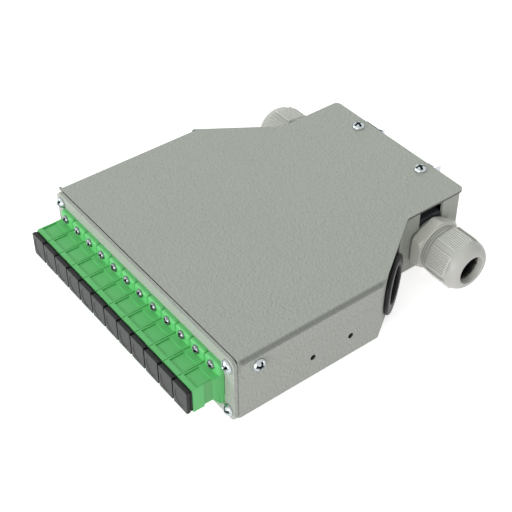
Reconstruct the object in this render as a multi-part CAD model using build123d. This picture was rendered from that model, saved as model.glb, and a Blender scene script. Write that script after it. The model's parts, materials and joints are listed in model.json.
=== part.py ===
from build123d import *
import os
from math import atan2, cos, degrees, hypot, radians, sin

# A flat fibre terminal box of folded steel sheet with a row of twelve simplex adapters.
# X runs along the front panel, Y back to the rail clip and Z up through the thickness.
# The origin is the middle of the housing's bottom face. All sizes are in millimetres.

# Housing
box_height = 32.5
body_width = 127.8
neck_width = 82.4
body_length = 137.5
neck_length = 32.1
taper_length = 34.0
sheet = 1.2
plan_radius = 1.5
base_radius = 1.0
lip_width = 8.6
tab_width = 14.0
tab_depth = 10.0
fold_offset = 0.2

# Cover
cover_top_gap = 0.3
flap_gap = 0.1
cover_front_gap = 0.5
cover_overhang = 0.8
flap_height = 9.3
flap_inset = 1.0
flap_corner = 2.5
bend_inner = 0.6
cover_corner = 2.5

# Front panel
panel_width = 128.2
panel_sheet = 1.5
panel_corner = 3.0
panel_screw_side = 3.9
panel_screw_edge = 4.3

# M3 pan head screws of the housing
screw_shank = 3.0
screw_hole = 3.2
screw_head = 5.6
screw_head_height = 1.9
screw_length = 6.0
top_screw_spacing = 41.0
top_screw_inset = 5.0
side_screw_back = 9.0
side_screw_drop = 6.0

# Empty holes in the side walls
side_hole = 2.6
side_hole_inset = 34.7
side_hole_pitch = 19.4
side_hole_height = 11.2

# Simplex adapters
adapter_count = 12
adapter_pitch = 9.65
adapter_gap = 0.15
adapter_front = 14.3
adapter_rear = 12.4
adapter_height = 11.6
flange_height = 21.6
flange_sheet = 2.4
flange_round = 1.2
grip_length = 5.0
belly_step = 0.8
waist_recess = 0.15
shoulder_length = 3.0
gusset_width = 1.1
gusset_drop = 4.2
label_depth = 0.5
label_frame = 0.75
label_front = 2.2
port_width = 7.4
port_height = 9.0
port_wall = 1.4
key_width = 2.4
key_depth = 0.7
rear_slim = 0.4
barrel_outer = 4.6
barrel_length = 13.0
hook_length = 5.0
hook_thick = 0.7
hook_gap = 0.4
hook_height = 2.6
slot_clearance = 0.15

# Ceramic alignment sleeves
sleeve_outer = 3.2
sleeve_inner = 2.5
sleeve_length = 11.4
sleeve_slit = 0.5
sleeve_clearance = 0.05

# Screws of the adapters
ear_screw_spacing = 17.2
ear_screw_shank = 2.0
ear_screw_head = 3.9
ear_screw_head_height = 1.3
ear_screw_length = 7.0
ear_screw_clearance = 0.1

# Dust caps
cap_width = 8.9
cap_lip_height = 11.4
cap_lip = 1.6
cap_groove = 0.3
cap_groove_depth = 0.4
cap_block = 0.75
cap_block_height = 10.2
cap_seat_gap = 0.05
cap_plug_length = 7.0
cap_plug_gap = 0.1
cap_plug_wall = 1.0
cap_corner = 0.5
cap_dish_width = 6.6
cap_dish_height = 8.8
cap_dish_depth = 0.2

# Cable glands in the neck's side walls
gland_inset = 17.4
gland_height = 13.2
gland_thread = 18.6
gland_bore = 12.6
gland_slot = 13.4
gland_hole_clearance = 0.2
washer_thick = 1.0
washer_outer = 22.6
hex_across = 22.4
hex_thick = 5.0
hex_chamfer = 0.6
collar_outer = 22.0
collar_thick = 0.8
thread_inside = 9.0
upper_thread = 19.2
upper_thread_length = 11.2
finger_length = 4.6
finger_wall = 1.3
finger_count = 8
finger_slot = 1.4
finger_taper = 1.6
finger_step = 0.5
nut_outer = 23.4
nut_across = 22.2
nut_turn = 38.0
nut_flat_run = 3.5
nut_gap = 0.3
nut_length = 19.2
nut_straight = 12.0
nut_end = 15.4
nut_opening = 11.6
nut_rim = 0.4
nut_lip = 0.5
nut_dome = 0.34
nut_running = 0.05
nut_cone_gap = 0.3
seal_bore = 9.6
seal_length = 9.0
seal_gap = 0.05
seal_neck = 3.0
seal_neck_gap = 0.1
seal_flare = 0.4
seal_flare_length = 0.8
seal_lead = 0.8
seal_lead_length = 1.5
locknut_across = 23.6
locknut_thick = 5.0

# Rubber grommets in the slanted walls
grommet_along = 17.6
grommet_height = 16.25
grommet_outer = 27.0
grommet_bore = 18.8
grommet_panel_hole = 22.6
grommet_lip = 2.0
grommet_inner_lip = 1.6
grommet_gap = 0.1
grommet_round = 0.8

# Clip for a 35 mm rail, on the rear wall
rail_width = 35.0
rail_edge = 1.0
rail_clearance = 0.3
rail_bite = 1.4
rail_stop = 8.0
clip_sheet = 1.5
clip_height = 23.9
clip_low = 4.6
clip_standoff = 2.4
clip_left = -27.0
clip_right = 16.2
hook_reach = 11.6
hook_flare = 0.6
hook_flare_length = 2.0
clip_screw_pitch = 13.0
clip_screw_x = -6.0
boss_outer = 6.0

# Sprung latch of the clip
latch_sheet = 1.2
latch_play = 0.15
latch_left = -15.0
latch_web = 19.2
latch_nose = 3.6
latch_nose_thick = 0.9
latch_nose_top = 0.6
latch_reach = 8.6
latch_tail = 11.0
latch_tail_height = 9.0
latch_claw = 6.6
latch_travel = 4.0
latch_slot_spare = 0.3
latch_edge_gap = 0.3
pull_slot_length = 2.2
pull_slot_height = 5.0
pull_slot_edge = 2.5
spring_outer = 2.8
spring_wire = 0.5
spring_turns = 7
spring_left = 0.5
spring_length = 11.5
spring_end_gap = 0.1
spring_window = 3.4

# Splice tray
tray_margin = 4.4
tray_length = 60.0
tray_setback = 4.9
tray_corner = 14.0
tray_wall = 1.2
tray_depth = 7.0
tray_floor = 1.2
tray_gate = 12.0
spool_radius = 10.5
spool_wall = 1.2
spool_height = 5.0
spool_slit = 4.0
spool_screw_gap = 3.1
holder_gap = 1.2
holder_length = 24.0
holder_base = 1.0
holder_slots = 5
holder_rib = 0.8
holder_height = 4.0
holder_tooth = 5.0
lid_thick = 1.0
lid_gap = 0.1
standoff_height = 4.8
standoff_across = 5.5
standoff_spacing = 65.2
tray_screw_length = 4.5

# Tie bridges pressed up from the floor
bridge_length = 10.0
bridge_width = 4.0
bridge_rise = 2.4
bridge_inset = 24.0
bridge_setback = 2.4

# Places worked out from the sizes above
front_y = -(panel_sheet + body_length) / 2
body_front = front_y + panel_sheet
rear_y = body_front + body_length
taper_end = rear_y - neck_length
taper_start = taper_end - taper_length
half_body = body_width / 2
half_neck = neck_width / 2
wall_top = box_height - sheet - cover_top_gap
half_cover = half_body + flap_gap + sheet
half_cover_neck = half_neck + cover_overhang
cover_front = body_front + cover_front_gap
row_height = box_height / 2
gland_y = rear_y - gland_inset
adapter_width = adapter_pitch - adapter_gap
row_half = adapter_count * adapter_pitch / 2 + slot_clearance
row_slot_height = adapter_height - 2 * rear_slim + 2 * slot_clearance

os.makedirs("parts", exist_ok=True)


def save(name, shape):
    """Writes one node to its own file."""
    shape.label = name
    export_step(shape, f"parts/{name}.step")


def block(x0, x1, y0, y1, z0, z1):
    """Returns a box between two opposite corners."""
    size = Box(x1 - x0, y1 - y0, z1 - z0)
    return Pos((x0 + x1) / 2, (y0 + y1) / 2, (z0 + z1) / 2) * size


def rod(radius, length):
    """Returns a cylinder that stands on its end at the origin."""
    return Cylinder(radius, length, align=(Align.CENTER, Align.CENTER, Align.MIN))


def turned(points):
    """Revolves a closed outline of radius and height pairs about Z."""
    outline = make_face(Plane.XZ * Polyline(*points, close=True))
    return revolve(outline, Axis.Z)


def prism(across, height):
    """Returns a hexagonal prism with corners at top and bottom of its X axis."""
    corner = across / 2 / cos(radians(30))
    return extrude(RegularPolygon(corner, 6), height)


def plan_face(half_wide, half_narrow, front, start, end, back):
    """Returns the plan of the housing: wide at the front, tapered to a neck."""
    points = [
        (-half_wide, front),
        (half_wide, front),
        (half_wide, start),
        (half_narrow, end),
        (half_narrow, back),
        (-half_narrow, back),
        (-half_narrow, end),
        (-half_wide, start),
    ]
    return make_face(Polyline(*points, close=True))


def on_slant(side):
    """Returns the frame on a slanted wall's outer face, Z outwards, at the grommet's centre."""
    run_x = half_neck - half_body
    length = hypot(run_x, taper_length)
    along_x = run_x / length
    along_y = taper_length / length
    centre_x = half_body + along_x * grommet_along
    centre_y = taper_start + along_y * grommet_along
    return Plane(
        origin=(side * centre_x, centre_y, grommet_height),
        x_dir=(side * along_x, along_y, 0),
        z_dir=(side * along_y, -along_x, 0),
    )


def on_neck(side):
    """Returns the frame on the neck's outer face, Z outwards, on the gland's axis."""
    return Plane(
        origin=(side * half_neck, gland_y, gland_height),
        x_dir=(0, 0, 1),
        z_dir=(side, 0, 0),
    )


def screw(shank, length, head, head_height):
    """Returns a pan head screw along Z, its head's seat at the origin and its shank below."""
    crown = head * 0.3
    edge = head_height * 0.45
    point = shank * 0.1
    profile = [
        (0, -length),
        (shank / 2 - point, -length),
        (shank / 2, -length + 2 * point),
        (shank / 2, 0),
        (head / 2, 0),
        (head / 2, edge),
        (crown, head_height),
        (0, head_height),
    ]
    return turned(profile)


panel_screw_spots = [
    (side * (panel_width / 2 - panel_screw_side), z)
    for side in (-1, 1)
    for z in (panel_screw_edge, box_height - panel_screw_edge)
]
top_screw_y = rear_y - top_screw_inset
side_screw_y = body_front + side_screw_back
side_screw_z = box_height - side_screw_drop
clip_middle_z = clip_low + clip_height / 2
hook_slot = rail_edge + rail_clearance
clip_screw_heights = [clip_middle_z - clip_screw_pitch / 2, clip_middle_z + clip_screw_pitch / 2]
adapter_spots = [(i - (adapter_count - 1) / 2) * adapter_pitch for i in range(adapter_count)]
tray_width = standoff_spacing + 2 * tray_margin
tray_middle = taper_end - tray_setback - tray_length / 2
spool_centre = standoff_spacing / 2 - spool_radius - spool_screw_gap
holder_width = 2 * (spool_centre - spool_radius - holder_gap)
tray_base = sheet + standoff_height


def tie_bridge(x, y):
    """Returns a bridge raised from the floor and the slot under it."""
    half = bridge_length / 2
    across = bridge_width / 2
    strap = block(x - half, x + half, y - across, y + across, 0, sheet + bridge_rise)
    under = block(x - half + sheet, x + half - sheet, y - across, y + across, 0, bridge_rise)
    return strap, under


def fold_regions():
    """Returns the boxes that divide the folded body just past its fold lines."""
    low = sheet + fold_offset
    far = body_length
    side_x = half_body - plan_radius
    neck_x = half_neck - plan_radius
    slant_front = taper_start - plan_radius
    slant_back = taper_end + plan_radius
    rear_front = rear_y - sheet - fold_offset
    regions = [
        block(-far, far, -far, far, -far, low),
        block(-neck_x, neck_x, rear_front, far, low, far),
    ]
    spans = [
        (0, side_x, -far, slant_front),
        (side_x, far, -far, slant_front),
        (0, far, slant_front, slant_back),
        (0, neck_x, slant_back, rear_front),
        (neck_x, far, slant_back, far),
    ]
    for side in (-1, 1):
        for x0, x1, y0, y1 in spans:
            low_x, high_x = sorted((side * x0, side * x1))
            regions.append(block(low_x, high_x, y0, y1, low, far))
    return regions


def body_tray():
    """The folded body: floor, six walls, front lips and cover tabs, flat pieces face to face."""
    plan = plan_face(half_body, half_neck, body_front, taper_start, taper_end, rear_y)
    outer = extrude(fillet(plan.vertices(), plan_radius), wall_top)
    foot = outer.faces().sort_by(Axis.Z)[0]
    outer = fillet(foot.edges(), base_radius)
    inner = offset(plan, -sheet, kind=Kind.INTERSECTION)
    inner = fillet(inner.vertices(), plan_radius - sheet)
    body = outer - Pos(0, 0, sheet) * extrude(inner, box_height)
    mouth = half_body - lip_width
    body -= block(-mouth, mouth, body_front - 1, body_front + 2 * sheet, sheet, box_height)
    body -= block(-row_half, row_half, body_front - 1, body_front + 2 * sheet,
                  row_height - row_slot_height / 2, row_height + row_slot_height / 2)
    for side in (-1, 1):
        x = side * top_screw_spacing / 2
        tab = block(x - tab_width / 2, x + tab_width / 2, rear_y - tab_depth, rear_y - sheet / 2,
                    box_height - 2 * sheet, box_height - sheet)
        body += tab
        body -= Pos(x, top_screw_y, box_height - 3 * sheet) * rod(screw_hole / 2, 3 * sheet)
        hole_radius = gland_thread / 2 + gland_hole_clearance
        neck = on_neck(side)
        body -= neck * Pos(0, 0, -2 * sheet) * rod(hole_radius, 3 * sheet)
        body -= block(*sorted((side * (half_neck - 2 * sheet), side * (half_neck + sheet))),
                      gland_y - gland_slot / 2, gland_y + gland_slot / 2, gland_height, box_height)
        body -= on_slant(side) * Pos(0, 0, -2 * sheet) * rod(grommet_panel_hole / 2, 3 * sheet)
        wall = Pos(side * (half_body - 2 * sheet), 0, 0) * Rot(0, side * 90, 0)
        for step in range(2):
            place = Pos(0, taper_start - side_hole_inset + step * side_hole_pitch, side_hole_height)
            body -= place * wall * rod(side_hole / 2, 3 * sheet)
        body -= Pos(0, side_screw_y, side_screw_z) * wall * rod(screw_hole / 2, 3 * sheet)
    for x, z in panel_screw_spots:
        body -= Pos(x, body_front - 1, z) * Rot(-90, 0, 0) * rod(screw_hole / 2, 3 * sheet)
    for z in clip_screw_heights:
        place = Pos(clip_screw_x, rear_y - 2 * sheet, z) * Rot(-90, 0, 0)
        body -= place * rod(screw_hole / 2, 3 * sheet)
    floor, *walls = [body & region for region in fold_regions()]
    for side in (-1, 1):
        strap, under = tie_bridge(side * bridge_inset, taper_end - bridge_setback)
        floor = floor + strap - under
    return Compound([solid for piece in (floor, *walls) for solid in piece.solids()])


def flap_section():
    """Returns the section of a folded edge: plate, round bend and flap, on the +X side."""
    outer = bend_inner + sheet
    low = box_height - flap_height
    inside = half_cover - sheet
    centre_x = half_cover - outer
    centre_z = box_height - outer
    slant = cos(radians(45))
    outside_line = Polyline((centre_x, box_height - sheet), (centre_x, box_height))
    outer_mid = (centre_x + outer * slant, centre_z + outer * slant)
    outside_bend = ThreePointArc((centre_x, box_height), outer_mid, (half_cover, centre_z))
    flap_line = Polyline((half_cover, centre_z), (half_cover, low), (inside, low), (inside, centre_z))
    inner_mid = (centre_x + bend_inner * slant, centre_z + bend_inner * slant)
    inside_bend = ThreePointArc((inside, centre_z), inner_mid, (centre_x, box_height - sheet))
    return make_face(Plane.XZ * (outside_line + outside_bend + flap_line + inside_bend))


def cover():
    """The lid plate with a folded flap along each straight side."""
    plan = plan_face(half_cover, half_cover_neck, cover_front, taper_start, taper_end,
                     rear_y + cover_overhang)
    corners = plan.vertices().filter_by(lambda v: v.Y > cover_front + 1)
    lid = Pos(0, 0, box_height - sheet) * extrude(fillet(corners, cover_corner), sheet)
    flap_front = cover_front + flap_inset
    flap_back = taper_start - flap_inset
    edge_x = half_cover - bend_inner - sheet
    for side in (-1, 1):
        x0, x1 = sorted((side * edge_x, side * (half_cover + 1)))
        lid -= block(x0, x1, flap_front, flap_back, 0, box_height + 1)
        flap = Pos(0, flap_front, 0) * extrude(flap_section(), flap_back - flap_front, dir=(0, 1, 0))
        low = flap.edges().filter_by(Axis.X).group_by(Axis.Z)[0]
        flap = fillet(low, flap_corner)
        lid += flap if side > 0 else mirror(flap, Plane.YZ)
        lid -= Pos(side * (half_cover + sheet), side_screw_y, side_screw_z) * Rot(
            0, -side * 90, 0) * rod(screw_hole / 2, 3 * sheet)
        place = Pos(side * top_screw_spacing / 2, top_screw_y, box_height - 2 * sheet)
        lid -= place * rod(screw_hole / 2, 3 * sheet)
    return lid


def front_panel():
    """The flat plate that carries the adapters, with one long slot for the whole row."""
    face = RectangleRounded(panel_width, box_height, panel_corner)
    face -= Rectangle(2 * row_half, row_slot_height)
    for x, z in panel_screw_spots:
        face -= Pos(x, z - row_height) * Circle(screw_hole / 2)
    for x in adapter_spots:
        for side in (-1, 1):
            face -= Pos(x, side * ear_screw_spacing / 2) * Circle(
                ear_screw_shank / 2 + ear_screw_clearance)
    plate = extrude(face, panel_sheet)
    return Pos(0, body_front, row_height) * Rot(90, 0, 0) * plate


def adapter():
    """One moulded adapter about its own axis, with the flange's back face at Y = 0."""
    half = adapter_width / 2
    high = adapter_height / 2
    waist = half - waist_recess
    grip_end = -adapter_front + grip_length
    shoulder = -flange_sheet - shoulder_length
    shell = block(-half, half, -adapter_front, grip_end, -high, high)
    shell += block(-waist, waist, grip_end, shoulder, -high + belly_step, high)
    shell += block(-half, half, shoulder, 0, -high + belly_step, high)
    flange = block(-half, half, -flange_sheet, 0, -flange_height / 2, flange_height / 2)
    flange = fillet(flange.edges().filter_by(Axis.Y), flange_round)
    rims = flange.edges().filter_by(Axis.X).group_by(Axis.Y)[0]
    shell += fillet(rims, flange_round)
    slim = adapter_width / 2 - slot_clearance
    shell += block(-slim, slim, 0, adapter_rear, -high + rear_slim, high - rear_slim)
    web = [(shoulder, -high + belly_step), (-flange_sheet, -high - gusset_drop + belly_step),
           (-flange_sheet, -high + belly_step)]
    for x in (-half, half - gusset_width):
        gusset = extrude(make_face(Plane.YZ * Polyline(*web, close=True)), gusset_width)
        shell += Pos(x, 0, 0) * gusset
    label = half - label_frame
    shell -= block(-label, label, -adapter_front + label_front, shoulder, high - label_depth, high + 1)
    port_x = port_width / 2
    port_z = port_height / 2
    middle = (adapter_rear - adapter_front) / 2
    key = key_width / 2
    for low, up in ((-adapter_front - 1, middle - port_wall / 2), (middle + port_wall / 2, adapter_rear + 1)):
        shell -= block(-port_x, port_x, low, up, -port_z, port_z)
        shell -= block(-key, key, low, up, 0, port_z + key_depth)
    shell += Pos(0, middle - barrel_length / 2, 0) * Rot(-90, 0, 0) * rod(barrel_outer / 2, barrel_length)
    bore = sleeve_outer / 2 + sleeve_clearance
    shell -= Pos(0, middle - barrel_length / 2 - 1, 0) * Rot(-90, 0, 0) * rod(bore, barrel_length + 2)
    for out in (-1, 1):
        root = middle + out * port_wall / 2
        low, up = sorted((root - out * port_wall / 2, root + out * hook_length))
        for side in (-1, 1):
            x0, x1 = sorted((side * (port_x - hook_gap - hook_thick), side * (port_x - hook_gap)))
            shell += block(x0, x1, low, up, -hook_height / 2, hook_height / 2)
    for side in (-1, 1):
        hole = rod(ear_screw_shank / 2 + ear_screw_clearance, flange_sheet + 2)
        shell -= Pos(0, -flange_sheet - 1, side * ear_screw_spacing / 2) * Rot(-90, 0, 0) * hole
    return shell


def dust_cap():
    """One push-in cap in the adapter's own frame: lip, groove, shoulder and hollow plug."""
    seat = -adapter_front - cap_seat_gap
    groove_end = seat - cap_block
    lip_back = groove_end - cap_groove
    half = cap_width / 2
    cap = block(-half, half, groove_end, seat, -cap_block_height / 2, cap_block_height / 2)
    neck = half - cap_groove_depth
    neck_z = cap_block_height / 2 - cap_groove_depth
    cap += block(-neck, neck, lip_back, groove_end, -neck_z, neck_z)
    lip = extrude(RectangleRounded(cap_width, cap_lip_height, cap_corner), cap_lip)
    dish = Ellipse(cap_dish_width / 2, cap_dish_height / 2)
    lip -= Pos(0, 0, cap_lip - cap_dish_depth) * extrude(dish, cap_lip)
    cap += Pos(0, lip_back, 0) * Rot(90, 0, 0) * lip
    plug_x = port_width / 2 - cap_plug_gap
    plug_z = port_height / 2 - cap_plug_gap
    plug = block(-plug_x, plug_x, seat, seat + cap_plug_length, -plug_z, plug_z)
    wall_x = plug_x - cap_plug_wall
    wall_z = plug_z - cap_plug_wall
    plug -= block(-wall_x, wall_x, seat, seat + cap_plug_length + 1, -wall_z, wall_z)
    return cap + plug


def sleeve():
    """One split ceramic sleeve in the adapter's own frame."""
    ring = rod(sleeve_outer / 2, sleeve_length) - rod(sleeve_inner / 2, sleeve_length)
    ring -= block(0, sleeve_outer, -sleeve_slit / 2, sleeve_slit / 2, 0, sleeve_length)
    middle = (adapter_rear - adapter_front) / 2
    return Pos(0, middle - sleeve_length / 2, 0) * Rot(-90, 0, 0) * ring


def gland_body():
    """The fixed half of a gland along Z, its washer's seat on the wall at Z = 0."""
    base = washer_thick
    hex_top = base + hex_thick
    crown = hex_top + collar_thick
    top = crown + upper_thread_length
    tip = top + finger_length
    hexagon = Pos(0, 0, base) * prism(hex_across, hex_thick)
    trim = hex_across / 2 + hex_chamfer
    wide = trim + 2 * hex_chamfer
    cone = turned([(0, base), (trim + hex_chamfer, base), (wide, base + hex_chamfer),
                   (wide, hex_top - 2 * hex_chamfer), (trim, hex_top), (0, hex_top)])
    outer = upper_thread / 2
    finger_root = outer - finger_step
    finger_tip = outer - finger_taper
    foot = -sheet - thread_inside
    thread = gland_thread / 2
    stem = turned([(0, foot), (thread, foot), (thread, hex_top), (collar_outer / 2, hex_top),
                   (collar_outer / 2, crown), (outer, crown), (outer, top), (finger_root, top),
                   (finger_tip, tip), (0, tip)])
    bore = gland_bore / 2
    pocket = finger_tip - finger_wall
    core = turned([(0, foot - 1), (bore, foot - 1), (bore, tip - seal_length), (pocket, tip - seal_length),
                   (pocket, tip + 1), (0, tip + 1)])
    shell = (hexagon & cone) + stem - core
    slit = block(0, outer, -finger_slot / 2, finger_slot / 2, top, tip + 1)
    for turn in range(finger_count):
        shell -= Rot(0, 0, turn * 360 / finger_count) * slit
    return shell


def gland_nut():
    """The dome nut along Z in the gland's frame."""
    base = washer_thick + hex_thick + collar_thick + nut_gap
    bore = upper_thread / 2 + nut_running
    straight = base + nut_straight
    end = base + nut_length
    out = nut_outer / 2
    drop = end - straight
    brow = nut_end / 2
    profile = Polyline((bore, base), (out - nut_rim, base), (out, base + nut_rim), (out, straight))
    middle = (out - (out - brow) * nut_dome, straight + drop * (1 - nut_dome))
    dome = ThreePointArc((out, straight), middle, (brow, end - nut_lip))
    mouth = nut_opening / 2
    root_z = base - nut_gap + upper_thread_length
    tip_z = root_z + finger_length + nut_cone_gap
    tip_r = upper_thread / 2 - finger_taper + nut_cone_gap
    rest = Polyline((brow, end - nut_lip), (mouth + nut_lip, end), (mouth, end - nut_lip),
                    (mouth, tip_z), (tip_r, tip_z), (bore, root_z + nut_cone_gap), (bore, base))
    face = make_face(Plane.XZ * (profile + dome + rest))
    nut = revolve(face, Axis.Z)
    run = nut_straight + nut_flat_run
    flats = Pos(0, 0, base) * Rot(0, 0, nut_turn) * prism(nut_across, run)
    keep = flats + Pos(0, 0, base + run) * rod(nut_outer, nut_length)
    return nut & keep


def gland_seal():
    """The rubber sealing ring inside the fingers, with a neck that fills the nut's mouth."""
    tip = washer_thick + hex_thick + collar_thick + upper_thread_length + finger_length
    outer = upper_thread / 2 - finger_taper - finger_wall - seal_gap
    start = tip - seal_length + seal_gap
    neck = nut_opening / 2 - seal_neck_gap
    end = tip + seal_neck
    bore = seal_bore / 2
    profile = [(bore + seal_lead, start), (outer, start), (outer, tip), (neck, tip), (neck, end),
               (bore + seal_flare, end), (bore, end - seal_flare_length), (bore, start + seal_lead_length)]
    return turned(profile)


def gland_washer():
    """The flat sealing washer under the hexagon."""
    return rod(washer_outer / 2, washer_thick) - rod(gland_thread / 2 + gland_hole_clearance, washer_thick)


def gland_locknut():
    """The hexagonal nut inside the wall, its flats facing the floor and the cover."""
    nut = prism(locknut_across, locknut_thick)
    bore = rod(gland_thread / 2 + nut_running, locknut_thick)
    return Pos(0, 0, -sheet - locknut_thick) * Rot(0, 0, 30) * (nut - bore)


def grommet():
    """A rubber ring along Z, its groove round the wall's edge and its outer lip above Z = 0."""
    lip = grommet_gap / 2 + grommet_lip
    low = -sheet - grommet_gap / 2 - grommet_inner_lip
    waist = grommet_panel_hole / 2 - grommet_gap
    out = grommet_outer / 2
    bore = grommet_bore / 2
    r = grommet_round
    soft = r * 0.3
    inner_seat = -sheet - grommet_gap / 2
    points = [(bore, low + r), (bore + r, low), (out - 2 * r, low), (out - r, low + r),
              (out - r, inner_seat), (waist, inner_seat), (waist, grommet_gap / 2),
              (out, grommet_gap / 2), (out, lip - r), (out - soft, lip - soft), (out - r, lip),
              (bore + r, lip), (bore + soft, lip - soft), (bore, lip - r)]
    return turned(points)


seat_y = rear_y + clip_standoff + clip_sheet
latch_y0 = rear_y + latch_play
latch_y1 = latch_y0 + latch_sheet
spring_y = (latch_y1 + rear_y + clip_standoff) / 2
spring_right = spring_left + spring_length + 2 * spring_end_gap
clip_top = clip_low + clip_height


def clip_base():
    """The channel on the rear wall: seat, two side legs, fixing bosses and the fixed rail hook."""
    inner_y = seat_y - clip_sheet
    plate = block(clip_left, clip_right, inner_y, seat_y, clip_low, clip_top)
    for low, up in ((clip_low, clip_low + clip_sheet), (clip_top - clip_sheet, clip_top)):
        plate += block(clip_left, clip_right, rear_y, inner_y, low, up)
    lip_inner = seat_y + hook_slot
    lip_outer = lip_inner + clip_sheet
    web = clip_left + clip_sheet
    plate += block(clip_left, web, inner_y, lip_outer, clip_low, clip_top)
    tip = clip_left + hook_reach
    bend = tip - hook_flare_length
    flare = [(clip_left, lip_inner), (bend, lip_inner), (tip, lip_inner + hook_flare),
             (tip, lip_outer + hook_flare), (bend, lip_outer), (clip_left, lip_outer)]
    lip = extrude(make_face(Polyline(*flare, close=True)), clip_height)
    plate += Pos(0, 0, clip_low) * lip
    stop_x = latch_web - latch_nose + rail_bite - rail_width
    plate += block(stop_x - clip_sheet, stop_x, seat_y, seat_y + rail_edge, clip_middle_z - rail_stop / 2,
                   clip_middle_z + rail_stop / 2)
    for z in clip_screw_heights:
        place = Pos(clip_screw_x, rear_y, z) * Rot(-90, 0, 0)
        plate += place * rod(boss_outer / 2, clip_standoff + clip_sheet / 2)
        plate -= place * Pos(0, 0, -1) * rod(screw_hole / 2, clip_standoff + clip_sheet + 2)
    window = spring_window / 2
    plate -= block(spring_left - 2, spring_right, inner_y - 1, seat_y + 1, clip_middle_z - window,
                   clip_middle_z + window)
    return plate


def clip_latch():
    """The sprung slider under the seat, with two claws for the rail's edge and a pull tail."""
    low = clip_low + clip_sheet + latch_edge_gap
    up = clip_top - clip_sheet - latch_edge_gap
    plate = block(latch_left, latch_web + latch_sheet, latch_y0, latch_y1, low, up)
    left = clip_screw_x - boss_outer / 2 - latch_travel - latch_slot_spare
    right = clip_screw_x + boss_outer / 2 + latch_slot_spare
    half = boss_outer / 2 + latch_slot_spare
    for z in clip_screw_heights:
        plate -= block(left, right, latch_y0 - 1, latch_y1 + 1, z - half, z + half)
    window = spring_window / 2
    plate -= block(spring_left, spring_right + 2, latch_y0 - 1, latch_y1 + 1, clip_middle_z - window,
                   clip_middle_z + window)
    web_right = latch_web + latch_sheet
    tip_y = rear_y + latch_reach
    nose_y = seat_y + hook_slot
    nose_x = latch_web - latch_nose
    nose = [(latch_web, latch_y0), (web_right, latch_y0), (web_right, tip_y),
            (latch_web - latch_nose_top, tip_y), (nose_x, nose_y + latch_nose_thick), (nose_x, nose_y),
            (latch_web, nose_y)]
    claw = extrude(make_face(Polyline(*nose, close=True)), latch_claw)
    plate += Pos(0, 0, clip_low) * claw
    plate += Pos(0, 0, clip_top - latch_claw) * claw
    half = latch_tail_height / 2
    tail = block(web_right - 1, web_right + latch_tail, latch_y0, latch_y1, clip_middle_z - half,
                 clip_middle_z + half)
    slot_right = web_right + latch_tail - pull_slot_edge
    tail -= block(slot_right - pull_slot_length, slot_right, latch_y0 - 1, latch_y1 + 1,
                  clip_middle_z - pull_slot_height / 2, clip_middle_z + pull_slot_height / 2)
    return plate + tail


def latch_spring():
    """The round wire coil in the two windows."""
    radius = (spring_outer - spring_wire) / 2
    pitch = (spring_length - 2 * spring_wire) / spring_turns
    path = Helix(pitch, spring_length - 2 * spring_wire, radius)
    start = Plane(origin=path @ 0, z_dir=path % 0)
    coil = sweep(start * RegularPolygon(spring_wire / 2, 6), path, is_frenet=True)
    start_x = spring_left + spring_end_gap + spring_wire
    return Pos(start_x, spring_y, clip_middle_z) * Rot(0, 90, 0) * coil


def tray_outline(shrink):
    """Returns the tray's rounded plan, drawn in by a margin."""
    return RectangleRounded(tray_width - 2 * shrink, tray_length - 2 * shrink, tray_corner - shrink)


def splice_tray():
    """A moulded tray: floor, rim, two winding spools and two bosses for its screws."""
    tray = extrude(tray_outline(0), tray_depth)
    tray -= Pos(0, 0, tray_floor) * extrude(tray_outline(tray_wall), tray_depth)
    tray -= block(-tray_gate / 2, tray_gate / 2, -tray_length / 2 - 1, -tray_length / 2 + tray_wall + 1,
                  tray_floor, tray_depth + 1)
    for side in (-1, 1):
        ring = rod(spool_radius, spool_height) - rod(spool_radius - spool_wall, spool_height + 1)
        ring -= block(-spool_slit / 2, spool_slit / 2, -spool_radius - 1, spool_radius + 1, tray_floor,
                      spool_height + 1)
        tray += Pos(side * spool_centre, 0, 0) * ring
        hole = rod(screw_hole / 2, tray_floor)
        tray -= Pos(side * standoff_spacing / 2, 0, 0) * hole
    return Pos(0, tray_middle, tray_base) * tray


def splice_holder():
    """The comb that grips the splice sleeves, between the spools."""
    comb = block(-holder_width / 2, holder_width / 2, -holder_length / 2, holder_length / 2, 0, holder_base)
    step = (holder_width - holder_rib) / holder_slots
    for i in range(holder_slots + 1):
        x = -holder_width / 2 + i * step
        for y in (-holder_length / 2, holder_length / 2 - holder_tooth):
            comb += block(x, x + holder_rib, y, y + holder_tooth, 0, holder_height)
    return Pos(0, tray_middle, tray_base + tray_floor) * comb


def tray_lid():
    """The clear lid that rests on the tray's rim."""
    lid = extrude(tray_outline(0), lid_thick)
    return Pos(0, tray_middle, tray_base + tray_depth + lid_gap) * lid


save("body_tray", body_tray())
save("cover", cover())
save("front_panel", front_panel())

one_adapter = adapter()
one_cap = dust_cap()
one_sleeve = sleeve()
for number, x in enumerate(adapter_spots, start=1):
    place = Pos(x, front_y, row_height)
    save(f"adapter_{number:02d}", place * one_adapter)
    save(f"dust_cap_{number:02d}", place * one_cap)
save("alignment_sleeves", Compound([Pos(x, front_y, row_height) * one_sleeve for x in adapter_spots]))

ear_screw = screw(ear_screw_shank, ear_screw_length, ear_screw_head, ear_screw_head_height)
ear_places = [Pos(x, front_y - flange_sheet, row_height + side * ear_screw_spacing / 2)
              for x in adapter_spots for side in (-1, 1)]
save("adapter_screws", Compound([place * Rot(90, 0, 0) * ear_screw for place in ear_places]))

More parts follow.
